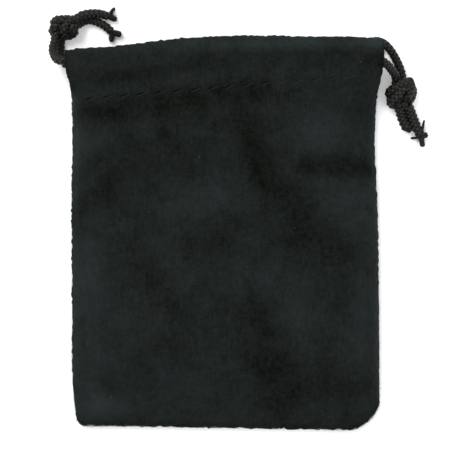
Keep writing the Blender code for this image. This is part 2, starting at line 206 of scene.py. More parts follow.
def edge_x(side, y):
    """The bag's edge at this height, side below 0 for the left and above 0 for the right."""
    return np.where(side < 0, through(LEFT_EDGE, y), through(RIGHT_EDGE, y))


def inset_of(x, y):
    """How far inside the outline a point is."""
    radius, power = corner_radius(x), corner_power(x)
    from_side = np.abs(edge_x(x, y)) - np.abs(x)
    from_bottom = y - BOTTOM + BOTTOM_RISE * x / HALF_WIDTH
    a, b = np.clip(radius - from_side, 0, None), np.clip(radius - from_bottom, 0, None)
    in_corner = radius - (a**power + b**power) ** (1 / power)
    return np.clip(np.where((a > 0) & (b > 0), in_corner, np.minimum(from_side, from_bottom)), 0, None)


def front_height(x, y):
    """The front panel's outer face: a low pillow, flat across the casing."""
    out = np.clip(np.abs(x / edge_x(x, y)), 0, 1)
    crown = np.sqrt(1 - out**4)
    from_bottom = smoothstep(0, BELLY_RUN, y - BOTTOM)
    up = up_casing(x, y)
    belly = BELLY_HEIGHT + (MOUTH_HEIGHT - BELLY_HEIGHT) * smoothstep(0, FLAT_FROM, up)
    pillow = EDGE_HEIGHT + (belly - EDGE_HEIGHT) * crown * from_bottom
    return pillow + (MOUTH_HEIGHT - pillow) * smoothstep(RISE_FROM, FLAT_FROM, up)


def distances(route):
    """How far along the route each of its points is."""
    return np.concatenate([[0], np.cumsum(np.linalg.norm(np.diff(route, axis=0), axis=1))])


def read_at(picks, along, values):
    return np.stack([np.interp(picks, along, values[:, axis]) for axis in range(3)], axis=1)


def smooth_route(points, spacing):
    """A centripetal Catmull-Rom curve through the points, read at even steps along it."""
    points = [Vector(p) for p in points]
    points = [2 * points[0] - points[1], *points, 2 * points[-1] - points[-2]]
    fine = []
    for a, b, c, d in zip(points, points[1:], points[2:], points[3:]):
        t1 = (b - a).length ** 0.5
        t2 = t1 + (c - b).length ** 0.5
        t3 = t2 + (d - c).length ** 0.5
        for step in range(FINE_STEPS):
            t = t1 + (t2 - t1) * step / FINE_STEPS
            ab = a + (b - a) * (t / t1)
            bc = b + (c - b) * ((t - t1) / (t2 - t1))
            cd = c + (d - c) * ((t - t2) / (t3 - t2))
            abc = ab + (bc - ab) * (t / t2)
            bcd = bc + (cd - bc) * ((t - t1) / (t3 - t1))
            fine.append(abc + (bcd - abc) * ((t - t1) / (t2 - t1)))
    fine = np.array([list(p) for p in (*fine, points[-2])])
    along = distances(fine)
    return read_at(np.linspace(0, along[-1], max(2, round(along[-1] / spacing) + 1)), along, fine)


def on_lane(lane, height, distance):
    return Vector((distance * math.cos(SLANT), lane + distance * math.sin(SLANT), height))


def run(lane, height, start, end):
    return [on_lane(lane, height, start + (end - start) * t) for t in RUN_POINTS]


def far_bend(front_end, back_end, outward):
    middle = (front_end + back_end) / 2
    arm = front_end - middle
    reach = Vector((outward * math.cos(SLANT), outward * math.sin(SLANT), 0)) * arm.length
    return [middle + arm * math.cos(a) + reach * math.sin(a) for a in map(math.radians, BEND_ANGLES)]


def cord_route(front_end, front_run, back_run, back_end, outward):
    bend = far_bend(front_run[-1], back_run[0], outward)
    return smooth_route([*front_end, *front_run, *bend, *back_run, *reversed(back_end)], ROUTE_STEP)


# ---------------------------------------------------------------- making objects

UP = np.array([0, 0, 1.0])
CAP_RISE = 0.35


def add(name, mesh, *looks):
    thing = bpy.data.objects.new(name, mesh)
    bpy.context.scene.collection.objects.link(thing)
    for look in looks:
        mesh.materials.append(look)
    return thing


def points_of(mesh):
    places = np.empty(len(mesh.vertices) * 3)
    mesh.vertices.foreach_get("co", places)
    return places.reshape(-1, 3)


def kept_in(mesh, label, width=1):
    values = np.empty(len(mesh.vertices) * width, np.float32)
    mesh.attributes[label].data.foreach_get("vector" if width > 1 else "value", values)
    return values


def store(mesh, label, kind, values):
    """Keeps a value or a vector for each of the mesh's points."""
    stored = mesh.attributes.get(label) or mesh.attributes.new(label, kind, "POINT")
    values = np.asarray(values, np.int32 if kind == "INT" else np.float32).ravel()
    stored.data.foreach_set("vector" if kind == "FLOAT_VECTOR" else "value", values)


def keep_places(mesh):
    """Stores where each point lies at rest, so that a weave stays on the cloth when it gathers."""
    store(mesh, "rest_place", "FLOAT_VECTOR", points_of(mesh))


def mesh_of(name, points, faces):
    mesh = bpy.data.meshes.new(name)
    mesh.from_pydata([tuple(p) for p in points], [], [tuple(int(i) for i in f) for f in faces])
    mesh.validate()
    mesh.shade_smooth()
    keep_places(mesh)
    return mesh


def apply_modifiers(thing):
    bpy.context.view_layer.update()
    graph = bpy.context.evaluated_depsgraph_get()
    made = bpy.data.meshes.new_from_object(thing.evaluated_get(graph))
    thing.modifiers.clear()
    old, thing.data = thing.data, made
    bpy.data.meshes.remove(old)


def directions(route):
    tangents = np.gradient(route, axis=0)
    return tangents / np.linalg.norm(tangents, axis=1)[:, None]


def frames_along(route):
    """Tangents, and two directions across, that turn as little as they can along the route."""
    tangents = directions(route)
    start = np.cross(tangents[0], UP)
    if np.linalg.norm(start) < 0.1:
        start = np.cross(tangents[0], (1.0, 0, 0))
    across = [start / np.linalg.norm(start)]
    for tangent in tangents[1:]:
        turned = across[-1] - tangent * (across[-1] @ tangent)
        across.append(turned / np.linalg.norm(turned))
    across = np.array(across)
    return tangents, across, np.cross(tangents, across)


def ring_faces(rings, sides):
    return [(i + j, i + (j + 1) % sides, i + sides + (j + 1) % sides, i + sides + j)
            for i in range(0, (rings - 1) * sides, sides) for j in range(sides)]


def tube_mesh(name, route, radii, sides, relief=None, capped=True):
    """A tube along the route. relief(around, along) scales its radius, as a braid does."""
    tangents, one, other = frames_along(route)
    along, rings = distances(route), len(route)
    angle = np.linspace(0, 2 * math.pi, sides, endpoint=False)
    radius = np.broadcast_to(radii, rings)[:, None] * np.ones((1, sides))
    if relief is not None:
        radius = radius * relief(angle[None, :], along[:, None])
    ring = np.cos(angle)[None, :, None] * one[:, None, :] + np.sin(angle)[None, :, None] * other[:, None, :]
    points = (route[:, None, :] + radius[:, :, None] * ring).reshape(-1, 3)
    faces = ring_faces(rings, sides)
    if capped:
        points = np.vstack([points, route[0] - tangents[0] * radius[0].mean() * CAP_RISE,
                            route[-1] + tangents[-1] * radius[-1].mean() * CAP_RISE])
        tip, last = rings * sides, (rings - 1) * sides
        for j in range(sides):
            k = (j + 1) % sides
            faces += [(k, j, tip), (last + j, last + k, tip + 1)]
    mesh = mesh_of(name, points, faces)
    ends = (0, len(points) - rings * sides)
    store(mesh, "along", "FLOAT", np.pad(np.repeat(along, sides), ends))
    store(mesh, "around", "FLOAT", np.pad(np.tile(angle / (2 * math.pi), rings), ends))
    return mesh


def from_shape(name, shape):
    mesh = bpy.data.meshes.new(name)
    shape.to_mesh(mesh)
    shape.free()
    return mesh


def joined(name, meshes, *looks):
    """One object out of several meshes."""
    shape = bmesh.new()
    for mesh in meshes:
        shape.from_mesh(mesh)
        bpy.data.meshes.remove(mesh)
    mesh = from_shape(name, shape)
    mesh.shade_smooth()
    return add(name, mesh, *looks)


# ---------------------------------------------------------------- materials

class Look:
    """A material made of nodes. Their inputs are numbers, colours or other nodes' outputs."""

    def __init__(self, name, on_cloth=True):
        self.made = bpy.data.materials.new(name)
        self.made.use_nodes = True
        self.tree = self.made.node_tree
        self.where = self.kept("rest_place", "Vector") if on_cloth else self.node("TexCoord", "Object")

    def fill(self, node, **inputs):
        """Each input goes by its name, or by its number, as in _0."""
        for key, value in inputs.items():
            socket = node.inputs[int(key[1:])] if key[1:].isdigit() else node.inputs[key.replace("_", " ")]
            if isinstance(value, bpy.types.NodeSocket):
                self.tree.links.new(value, socket)
            elif socket.type == "RGBA":
                socket.default_value = (*value, 1.0)
            else:
                socket.default_value = value

    def node(self, kind, output, settings=None, **inputs):
        node = self.tree.nodes.new("ShaderNode" + kind)
        for key, value in (settings or {}).items():
            setattr(node, key, value)
        self.fill(node, **inputs)
        return node.outputs[output]

    def kept(self, label, output="Fac"):
        return self.node("Attribute", output, {"attribute_name": label})

    def grain(self, scale, detail=2.0, roughness=0.5, distortion=0.0, where=None):
        return self.node("TexNoise", "Fac", Vector=where or self.where, Scale=scale, Detail=detail,
                         Roughness=roughness, Distortion=distortion)

    def bands(self, direction, scale, distortion, detail=1.0):
        return self.node("TexWave", "Fac", {"wave_type": "BANDS", "bands_direction": direction},
                         Vector=self.where, Scale=scale, Distortion=distortion, Detail=detail)

    def ranged(self, value, low, high, to_low=0.0, to_high=1.0):
        return self.node("MapRange", "Result", {"clamp": True}, Value=value, From_Min=low, From_Max=high,
                         To_Min=to_low, To_Max=to_high)

    def blended(self, share, first, second):
        return self.node("Mix", 2, {"data_type": "RGBA"}, _0=share, _6=first, _7=second)

    def calculated(self, operation, first, second):
        return self.node("Math", 0, {"operation": operation}, _0=first, _1=second)

    def sum_of(self, *terms):
        """The sum of (socket, weight) terms."""
        first, *others = (self.calculated("MULTIPLY", socket, weight) for socket, weight in terms)
        for other in others:
            first = self.calculated("ADD", first, other)
        return first

    def bump(self, strength, distance, height):
        return self.node("Bump", "Normal", Strength=strength, Distance=distance, Height=height)

    def done(self, tone, dark, pale, **inputs):
        """The material, dark to pale by its tone."""
        self.fill(self.tree.nodes["Principled BSDF"], Base_Color=self.blended(tone, dark, pale), **inputs)
        return self.made


def velour_look():
    """Short black nap: patches where it leans another way, fine clumps, a soft sheen and a little lint. The
    nap attribute adds painted shade in the folds, painted light and shade at the rim, and patches that are
    partly painted light and shade.
    """
    look = Look("black velour")
    patches = look.grain(110.0, 4.0, 0.6, 0.5)
    clumps = look.grain(620.0, 3.0, 0.65)
    fibres = look.grain(2400.0, 2.0, 0.7)
    tall = look.node("VectorMath", "Vector", {"operation": "MULTIPLY"}, _0=look.where, _1=(1.0, 0.22, 1.0))
    # The nap attribute holds painted fold shade, a painted rim highlight and rim shade, and patches that are
    # partly the nap's lean and partly painted light and shade.
    wales, painted_light_and_nap = look.grain(1050.0, 2.0, 0.6, where=tall), look.kept("nap")
    nap_tone_and_painted_light = look.sum_of((patches, 0.32), (clumps, 0.30), (fibres, 0.34), (wales, 0.16), (painted_light_and_nap, 0.22))
    hue = look.ranged(look.grain(800.0, 2.0, 0.6), 0.36, 0.64)
    pale = look.blended(hue, (0.0232, 0.0280, 0.0258), (0.0190, 0.0283, 0.0312))
    shade = look.blended(look.ranged(nap_tone_and_painted_light, 0.375, 0.975), (0.0013, 0.0016, 0.0004), pale)
    lint = look.node("TexVoronoi", "Distance", Vector=look.where, Scale=330.0)
    near = look.ranged(lint, 0.05, 0.10, 1.0, 0.0)
    rare = look.ranged(look.grain(210.0, 1.0), 0.66, 0.69)
    height = look.sum_of((fibres, 0.5), (clumps, 1.0))
    return look.done(look.calculated("MULTIPLY", near, rare), shade, (0.034, 0.040, 0.039),
                     Roughness=look.ranged(clumps, 0.3, 0.7, 0.82, 0.98), Specular_IOR_Level=0.06,
                     Sheen_Weight=0.030, Sheen_Roughness=0.42, Sheen_Tint=(0.72, 0.86, 0.92),
                     Normal=look.bump(0.75, 0.00035, height))


def cloth_back_look():
    """The knitted back of the velour: fine ribs with loops across them."""
    look = Look("velour back")
    knit = look.sum_of((look.bands("X", 330.0, 0.6), 0.6), (look.bands("Y", 420.0, 0.8), 0.4))
    tone = look.ranged(look.sum_of((knit, 0.6), (look.grain(160.0, 3.0), 0.6)), 0.3, 0.9)
    return look.done(tone, (0.0045, 0.0055, 0.0050), (0.0120, 0.0140, 0.0135), Roughness=0.88,
                     Specular_IOR_Level=0.18, Sheen_Weight=0.03, Normal=look.bump(0.6, 0.0002, knit))


def thread_look():
    look = Look("black thread")
    twist = look.bands("DIAGONAL", 900.0, 1.0, 2.0)
    tone = look.sum_of((twist, 0.5), (look.grain(700.0), 0.5))
    return look.done(tone, (0.003, 0.004, 0.004), (0.013, 0.017, 0.0175), Roughness=0.65,
                     Specular_IOR_Level=0.12, Normal=look.bump(0.5, 0.0001, twist))


def pucker_shadow_look():
    """Painted shadow: a near-black strip that stands for the shade where the nap is pinched beside a stitch.
    """
    look = Look("painted pucker shadow")
    return look.done(look.grain(1800.0), (0.0004, 0.0005, 0.0003), (0.0050, 0.0062, 0.0052),
                     Roughness=0.95, Specular_IOR_Level=0.03)


def braid_look():
    """Black nylon braid, grey-brown on its crowns as a painted highlight and near black in its hollows as
    painted shade, from the crown attribute.
    """
    look = Look("black braid")
    filaments = look.grain(2600.0, 2.0, 0.6)
    # Painted light: the braid's crowns are paler and its hollows darker, from the crown attribute.
    tone = look.sum_of((look.kept("crown"), 1.0), (filaments, 0.25), (look.grain(300.0), 0.2))
    return look.done(look.ranged(tone, 0.36, 1.12), (0.0016, 0.0018, 0.0014), (0.0215, 0.0235, 0.0182),
                     Roughness=look.ranged(filaments, 0.3, 0.7, 0.42, 0.62), Specular_IOR_Level=0.14,
                     Normal=look.bump(0.5, 0.00012, filaments))


def lint_look():
    look = Look("pale lint")
    return look.done(look.grain(500.0), (0.26, 0.27, 0.24), (0.62, 0.62, 0.54), Roughness=0.9)


def floor_look():
    look = Look("pale table", on_cloth=False)
    return look.done(look.grain(6.0, 3.0), (0.93, 0.93, 0.93), (0.97, 0.97, 0.97), Roughness=0.9,
                     Specular_IOR_Level=0.1, Emission_Color=(1.0, 1.0, 1.0), Emission_Strength=0.18)


# ---------------------------------------------------------------- camera, floor and light

SEEN_WIDTH = 0.14625
SEEN_MIDDLE = 0.00244
SEEN_PLANE = 0.004
LENS = 400.0
SENSOR = 36.0
NEAREST, FARTHEST = 0.05, 20.0
FLOOR_REACH = 8.0
FLOOR_LEVEL = -0.00005


def make_camera():
    """Straight down on the bag, from far enough that its height doesn't spread its outline."""
    camera = add("camera", bpy.data.cameras.new("camera"))
    camera.data.lens, camera.data.sensor_width = LENS, SENSOR
    camera.data.clip_start, camera.data.clip_end = NEAREST, FARTHEST
    camera.location = (0.0, SEEN_MIDDLE, SEEN_PLANE + SEEN_WIDTH * LENS / SENSOR)
    bpy.context.scene.camera = camera


def make_floor():
    mesh = bpy.data.meshes.new("floor")
    corners = [(x * FLOOR_REACH, y * FLOOR_REACH, 0) for x, y in ((-1, -1), (1, -1), (1, 1), (-1, 1))]
    mesh.from_pydata(corners, [], [(0, 1, 2, 3)])
    floor = add("floor", mesh, floor_look())
    floor.location.z = FLOOR_LEVEL


def softbox(name, place, width, energy, tint):
    light = bpy.data.lights.new(name, "AREA")
    light.shape, light.size, light.energy, light.color = "DISK", width, energy, tint
    box = add(name, light)
    box.location = place
    box.rotation_euler = (-Vector(place)).to_track_quat("-Z", "Y").to_euler()


def make_light():
    world = bpy.data.worlds.new("studio")
    world.use_nodes = True
    sky = world.node_tree.nodes["Background"].inputs
    sky["Color"].default_value, sky["Strength"].default_value = (0.97, 0.985, 1.0, 1.0), 0.95
    bpy.context.scene.world = world
    softbox("key", (-0.50, 0.70, 0.95), 0.5, 11.0, (1.0, 0.99, 0.97))
    softbox("fill", (0.8, -0.3, 0.7), 0.6, 3.0, (0.92, 0.97, 1.0))
    bpy.context.scene.view_settings.view_transform = "Standard"


# ---------------------------------------------------------------- cords, knots and tails

STRANDS = 4
BRAID_PITCH = 0.00150
RELIEF = 0.20
BRAID_SIDES = 30
SEEN_STEP = 0.00023
HIDDEN_STEP = 0.0009
HIDDEN_HALF = 0.013
KNOT_STEP = 0.00024
KNOT_SWELLS = 0.05
TUFT_STEP = 0.00022
TUFT_SIDES = 20
FILAMENT_RADIUS = 0.00006
FIRST_BEND = 0.30
HAIR_ANGLES = [2 * math.pi * k / 3 for k in range(3)]

# Each cord's tails: the route, how full it is at the knot and at the cut, and the tufts that the cut end
# has split into, as (where to, width, spread, filaments) in mm
LEFT_TAILS = {
    "left_upper_tail": (LEFT_UPPER_TAIL, 1.06, 1.0, [
        ((-35.9, 73.1, 1.5), 1.25, 0.24, 44), ((-35.3, 69.3, 1.2), 2.00, 0.36, 64)]),
    "left_lower_tail": (LEFT_LOWER_TAIL, 1.0, 0.98, [
        ((-33.9, 64.3, 1.3), 2.25, 0.38, 74), ((-36.9, 62.1, 1.1), 1.80, 0.30, 56)])}
RIGHT_TAILS = {
    "right_inner_tail": (RIGHT_INNER_TAIL, 1.20, 1.28, [((60.6, 33.2, 1.1), 2.50, 0.18, 50)]),
    "right_outer_tail": (RIGHT_OUTER_TAIL, 1.20, 1.02, [
        ((65.9, 31.8, 1.2), 2.05, 0.34, 66), ((64.4, 28.0, 1.1), 1.90, 0.28, 64),
        ((60.4, 30.6, 0.7), 0.80, 0.16, 24), ((64.9, 36.7, 1.6), 0.80, 0.14, 22)])}


def braid_crown(around, along):
    """How high the braid stands, 0 in its hollows and 1 on its crowns: two sets of strands cross."""
    a = STRANDS * around / (2 * math.pi) + along / BRAID_PITCH
    b = STRANDS * around / (2 * math.pi) - along / BRAID_PITCH
    over = (np.floor(a) + np.floor(b)) % 2 == 0
    across, onward = np.abs(np.sin(math.pi * a)), np.abs(np.sin(math.pi * b))
    return np.where(over, across**0.75 * onward**1.25, onward**0.75 * across**1.25)


def braid_relief(around, along):
    return 1.15 - RELIEF + 1.3 * RELIEF * braid_crown(around, along)


def tuft_relief(around, along):
    return 1 + 0.09 * np.sin(7 * around + 700 * along) + 0.06 * np.sin(11 * around)


def add_crown(mesh):
    store(mesh, "crown", "FLOAT", braid_crown(kept_in(mesh, "around") * 2 * math.pi, kept_in(mesh, "along")))
    return mesh


def braided(name, route, radii=CORD / 2, capped=True):
    return add_crown(tube_mesh(name, route, radii, BRAID_SIDES, braid_relief, capped))


def thinned(route, seen):
    """The route at even fine steps where it is seen, and at coarse ones inside the casing."""
    along = distances(route)
    picks, place = [], 0.0
    while place < along[-1]:
        picks.append(place)
        place += SEEN_STEP if seen(np.interp(place, along, route[:, 0])) else HIDDEN_STEP
    return read_at([*picks, along[-1]], along, route)


def make_knot(name, path, starts, ends, look):
    """The two strands of the pair, from the cord's two ends through the knot to the two tails."""
    meshes = []
    for i, (sign, start, end) in enumerate(zip((1, -1), starts, ends)):
        inside = [(Vector(middle) + sign * Vector(offset)) * MM for middle, offset in path]
        route = smooth_route([start, *inside, end], KNOT_STEP)
        t = np.linspace(0, 1, len(route))
        swollen = CORD / 2 * (1 + KNOT_SWELLS * smoothstep(0, 0.12, t) * smoothstep(1, 0.88, t))
        meshes.append(braided(f"{name}_{i}", route, swollen, capped=False))
    return joined(name, meshes, look)


def fibre_mesh(points, radius):
    """A fine hair along the points, tapering to its tip, as (points, faces)."""
    points = np.asarray(points)
    _, one, other = frames_along(points)
    rings = []
    for i, (p, a, b) in enumerate(zip(points[:-1], one, other)):
        r = radius * (1 - 0.7 * i / len(points))
        rings += [p + r * (math.cos(angle) * a + math.sin(angle) * b) for angle in HAIR_ANGLES]
    last = (len(points) - 2) * 3
    tip = [(last + k, last + (k + 1) % 3, last + 3) for k in range(3)]
    return [*rings, points[-1]], ring_faces(len(points) - 1, 3) + tip


def hairs_object(name, hairs, look, radius):
    points, faces = [], []
    for hair in hairs:
        rings, sides = fibre_mesh(hair, radius)
        faces += [tuple(len(points) + i for i in face) for face in sides]
        points += rings
    mesh = mesh_of(name, points, faces)
    store(mesh, "crown", "FLOAT", np.full(len(mesh.vertices), 0.75))
    return add(name, mesh, look)


def tuft(cut, heading, target, thick, spread, count, dice):
    """Filaments from the cord's cut end, bending away towards one target and fanning out round it."""
    hairs = []
    up = Vector(UP)
    side = heading.cross(up).normalized()
    reach = (target - cut).length
    for _ in range(count):
        angle, out = dice.uniform(0, 2 * math.pi), CORD * 0.36 * math.sqrt(dice.random())
        start = cut - heading * 0.0006 + (side * math.cos(angle) + up * math.sin(angle)) * out
        fan = Vector([dice.gauss(0, 1) for _ in range(3)])
        tip = cut + (target - cut) * dice.uniform(0.80, 1.12) + fan * spread
        tip.z = max(0.0002, tip.z)
        bend = cut + heading * reach * FIRST_BEND + (start - cut) * 0.8 + fan * thick * 0.3
        hairs.append([start, start.lerp(bend, 0.55), bend.lerp(tip, 0.35) + fan * thick * 0.5,
                      bend.lerp(tip, 0.72) + fan * thick * 0.4, tip])
    return hairs


def make_tail(name, route_points, tips, look, dice, fullness, end):
    """A braided tail, the cores of the tufts at its cut end, and their loose filaments."""
    route = smooth_route(route_points, SEEN_STEP)
    t = np.linspace(0, 1, len(route))
    meshes = [braided(name, route, CORD / 2 * (fullness + (end - fullness) * smoothstep(0.55, 1.0, t)))]
    cut = Vector(route[-1])
    heading = Vector(route[-1] - route[-4]).normalized()
    hairs = []
    for i, (target, width, spread, count) in enumerate(tips):
        target = Vector(target) * MM
        middle = cut + heading * (target - cut).length * FIRST_BEND
        core = smooth_route([cut - heading * 0.0010, middle.lerp(cut, 0.5), cut.lerp(target, 0.60),
                             cut.lerp(target, 0.97)], TUFT_STEP)
        s = np.linspace(0, 1, len(core))
        thick = width / 2 * MM * (1.0 - 0.16 * np.sin(np.pi * s * 0.8) - 0.16 * smoothstep(0.88, 1.0, s))
        meshes.append(add_crown(tube_mesh(f"{name}_{i}", core, thick, TUFT_SIDES, tuft_relief)))
        hairs += tuft(cut, heading, target, width * 0.32 * MM, spread * MM, count, dice)
    return joined(name, meshes, look), hairs_object(f"{name}_fray", hairs, look, FILAMENT_RADIUS)


def make_cord(side, sign, front_end, front_run, back_run, back_end, path, tails, look, dice):
    """A cord from its knot along both casings, round the far slit and back, with its knot and its tails."""
    route = cord_route(front_end, run(*front_run), run(*back_run), back_end, -sign)
    name = f"{side}_cord_braid"
    cord = add(name, braided(name, thinned(route, lambda x: sign * x > HIDDEN_HALF)), look)
    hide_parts(f"{side}_cord")
    ends = [points[0] for points, *_ in tails.values()]
    knot = make_knot(f"{side}_knot_strands", path, (front_end[0], back_end[0]), ends, look)
    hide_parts(f"{side}_knot")
    going = [knot]
    for name, (points, *fullness, tips) in tails.items():
        tail, frayed = make_tail(f"{name}_braid", points, tips, look, dice, *fullness)
        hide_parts(name)
        going += [tail, frayed]
    for piece in (cord, *going):
        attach(piece, f"{side}_pull")


def make_cords(look):
    dice = random.Random(7)
    make_cord("left", -1, LEFT_FRONT_END, (LEFT_FRONT_LANE, HIGH_LANE, *LEFT_RUN),
              (LEFT_BACK_LANE, LOW_LANE, *LEFT_RUN[::-1]), LEFT_BACK_END, LEFT_KNOT_PATH,
              LEFT_TAILS, look, dice)
    make_cord("right", 1, RIGHT_FRONT_END, (RIGHT_FRONT_LANE, HIGH_LANE, RIGHT_FRONT_START, RIGHT_FAR),
              (RIGHT_BACK_LANE, LOW_LANE, RIGHT_FAR, RIGHT_BACK_START), RIGHT_BACK_END, RIGHT_KNOT_PATH,
              RIGHT_TAILS, look, dice)


# ---------------------------------------------------------------- the cloth of the bag

# Folds: their line on the bag, how deep and how wide, in mm. Along each valley the nap colour is also
# darkened as painted shade.
FOLDS = [
    ([(-62, 36), (-49.5, 37), (-38, 38.8), (-26, 41.2), (-3.5, 43.8), (12, 45.2), (27, 46.4)], 1.05, 1.8),
    ([(1.5, 44), (5, 37.5), (8.4, 29.5), (11.8, 22.5), (16, 14.5), (21.5, 8), (27, 2.5),
      (33.5, -3), (39, -10), (41, -20)], 1.15, 2.3),
    ([(20, 20), (26, 21), (34, 21.6), (46.5, 20.4), (56, 20)], 1.1, 1.4),
    ([(-34, 23), (-40, 11), (-48.6, 3.8), (-56, -2)], 0.6, 2),
    ([(-34, 35.5), (-29.5, 28), (-24, 22.5)], 0.45, 1.7),
    ([(-19, -5.6), (-11, -3.4), (-3, -1), (5, 2.2), (10, 4.6)], 0.5, 1.7),
    ([(-30.5, 6), (-28.6, -2.5), (-26.2, -9.5), (-23, -16), (-17.5, -23), (-9, -28.5)], 0.55, 1.9),
    ([(5.5, -18), (9, -28), (14, -39.5), (19, -49.5), (25, -59)], 0.85, 3),
    ([(27, -38), (36, -44), (41, -55)], 0.4, 2.6),
    ([(-42, -48), (-37.5, -50), (-35, -55.5)], 0.3, 1.3),
    ([(-51, 47.4), (-43, 48.2), (-34, 49.8), (-20, 52.6), (-4, 54.8), (12, 56), (28, 56.8),
      (44, 57.5), (52, 58)], 0.42, 1.1),
]

# Patches of the nap colour, partly where the nap was brushed and partly painted light and shade over folds
# and along lit edges: the middle and the reach in mm, then how much paler, or darker below 0
NAP_AND_LIGHT_PATCHES = [
    (-45, 28, 4.5, 7, 0.4), (-44, -17, 5, 16, 0.55), (-41, -56, 7, 3.5, 0.95), (-43, -44, 5, 8, 0.28),
    (-8, 11, 10, 7, 0.4), (31.5, 31.5, 9, 5, 0.45), (40, 12.5, 7, 5, 0.6), (46, 2, 3, 9, 0.25),
    (24, -27, 7, 8, 0.4), (44.5, -29, 2.6, 12, 0.45), (8, -12, 8, 6, 0.2), (38, 50.5, 9, 2, 0.2),
    (30, 54.5, 16, 2.2, -0.25), (-15, 60.6, 25, 2, 0.35), (28, 61.6, 26, 1.8, 0.7),
    (48, 61.2, 3.5, 2.4, 0.8), (-30, 44.8, 11, 1.2, 0.25), (-17, 42.4, 13, 2, -0.38),
    (-27, -6, 8, 7, 0.2), (-10, -50, 12, 6, 0.15), (-37, 17, 8, 9, -0.25), (-22, 27, 7, 7, -0.3),
    (-3, 28, 7, 8, -0.3), (4.8, 37.5, 3.6, 5.5, -0.8), (-12, 21, 9, 4, -0.3), (-7, -2.5, 8, 4, -0.22),
    (-22, -16, 6, 6, -0.15), (-15, -38, 8, 5, -0.35), (11, 25, 4.5, 9, -0.45), (20, -2, 7, 7, -0.25),
    (34.5, -4, 4.5, 4.5, 0.22), (36, -22, 4, 7, -0.25), (15, -44, 5, 8, -0.45), (19, -53, 7, 6, -0.65),
    (33, -50, 9, 7, -0.25), (2, -19, 5, 8, -0.25), (-37, 50, 14, 2.6, -0.45), (-38, 39.2, 15, 2.2, -0.78),
    (8, 43.8, 12, 1.4, -0.28), (43, 40, 3.5, 8, -0.35), (48.5, 56, 4, 4, -0.5),
    (35, 20.7, 10, 1.6, -0.95),
]
ROLL = 0.0018
ROLL_RISE = CASING / 2
HEM_WIDTH = 0.0460
BACK_ROLL_END = 0.0443
SEAM_LEVEL = 0.00135
CLOTH = 0.0009
STITCHED_FROM, STITCHED_TO = -0.0455, 0.0470
BELOW_STITCHES = 0.0014
EDGE_STEPS = np.array([0, 0.15, 0.42, 0.8, 1.35, 2.1, 3.1, 4.4])
BELLY_ROWS = np.concatenate([EDGE_STEPS * MM, np.linspace(EDGE_STEPS[-1] * MM, 1, 60)[1:]])
ROLL_ANGLES = (62, 34, 8, -18, -44, -68)
FOLD_SPREAD = 1.7
SHADE_SPREAD = 1.35
PATCH_SPREAD = 1.15
RIM_PAINTED_HIGHLIGHT, RIM_PAINTED_SHADE = 0.55, -0.45
DARKEST_NAP_AND_SHADE = 0.62
RIM = 0.0009
FOLD_STEP = 0.002
FRONT_EDGE_RADIUS, BACK_EDGE_RADIUS = 0.0036, 0.0013
LANE_RIDGE, LANE_RISE, CASING_DROP = 0.0014, 0.00042, 0.00030
SOFT_LUMPS, SMALL_LUMPS, BACK_LUMPS = 0.00042, 0.00020, 0.00009


def nearest_on(route, x, y):
    """Distance to a line on the bag, and how far along it, from 0 to 1."""
    reached = distances(route)
    reached = reached / reached[-1]
    best, along = np.full(x.shape, 1e9), np.zeros(x.shape)
    for i in range(len(route) - 1):
        a, d = route[i], route[i + 1] - route[i]
        t = np.clip(((x - a[0]) * d[0] + (y - a[1]) * d[1]) / (d @ d), 0, 1)
        away = np.hypot(x - a[0] - t * d[0], y - a[1] - t * d[1])
        closer = away < best
        best = np.where(closer, away, best)
        along = np.where(closer, reached[i] + t * (reached[i + 1] - reached[i]), along)
    return best, along


def folds(x, y):
    """The cloth's rise and fall at the folds, and how much painted shade each point gets from them, 0 to 1.
    """
    rise, painted_fold_shade = np.zeros(x.shape), np.zeros(x.shape)
    for line, depth, width in FOLDS:
        route = smooth_route([(px * MM, py * MM, 0) for px, py in line], FOLD_STEP)[:, :2]
        away, along = nearest_on(route, x, y)
        taper = smoothstep(0, 0.22, along) * smoothstep(1, 0.78, along)
        width = FOLD_SPREAD * (width * MM)
        ridge = bell(away - 2.0 * width, 1.1 * width)
        rise += depth * MM * taper * (0.34 * ridge - bell(away, width))
        # Painted shade: the nap colour darkens along each fold, wider than its valley.
        painted_fold_shade = np.maximum(painted_fold_shade, 0.75 * bell(away, SHADE_SPREAD * width) * taper * min(1.0, depth))
    return rise, painted_fold_shade


def nap_and_painted_light(x, y, painted_fold_shade):
    """The nap colour's lean, partly the nap's own lie and partly painted light and shade: above 0 paler,
    below 0 darker. It holds painted shade in the folds, the patches, and a painted highlight and shade at the
    rim.
    """
    nap_tone_and_painted_light = -painted_fold_shade
    for px, py, wide, tall, amount in NAP_AND_LIGHT_PATCHES:
        nap_tone_and_painted_light = nap_tone_and_painted_light + amount * np.exp(-((x / MM - px) / (PATCH_SPREAD * wide)) ** 2
                                      - ((y / MM - py) / (PATCH_SPREAD * tall)) ** 2)
    nap_tone_and_painted_light = np.where(nap_tone_and_painted_light < 0, DARKEST_NAP_AND_SHADE * np.tanh(nap_tone_and_painted_light / 0.85), nap_tone_and_painted_light)
    # Painted light at the rim: a painted highlight along the right side's rim and painted shade along the
    # other rims.
    lit_side = (x > 0) & (y > BOTTOM + CORNER_RADIUS) & (y < SLIT_FROM)
    return nap_tone_and_painted_light + bell(inset_of(x, y), RIM) * np.where(lit_side, RIM_PAINTED_HIGHLIGHT, RIM_PAINTED_SHADE)


def crumple(x, y, size, seed):
    """Soft uneven lumps of about this size, from -1 to 1."""
    return noise_at(x / size + seed, y / size - seed, seed * 1.7)


def columns():
    """Places across the bag, from -1 at its left edge to 1 at its right, closer together at the edges."""
    near_edge = EDGE_STEPS / 50
    half = 1 - np.concatenate([near_edge, np.linspace(near_edge[-1], 1.0, 26)[1:]])
    return np.concatenate([-half, half[-2::-1]])


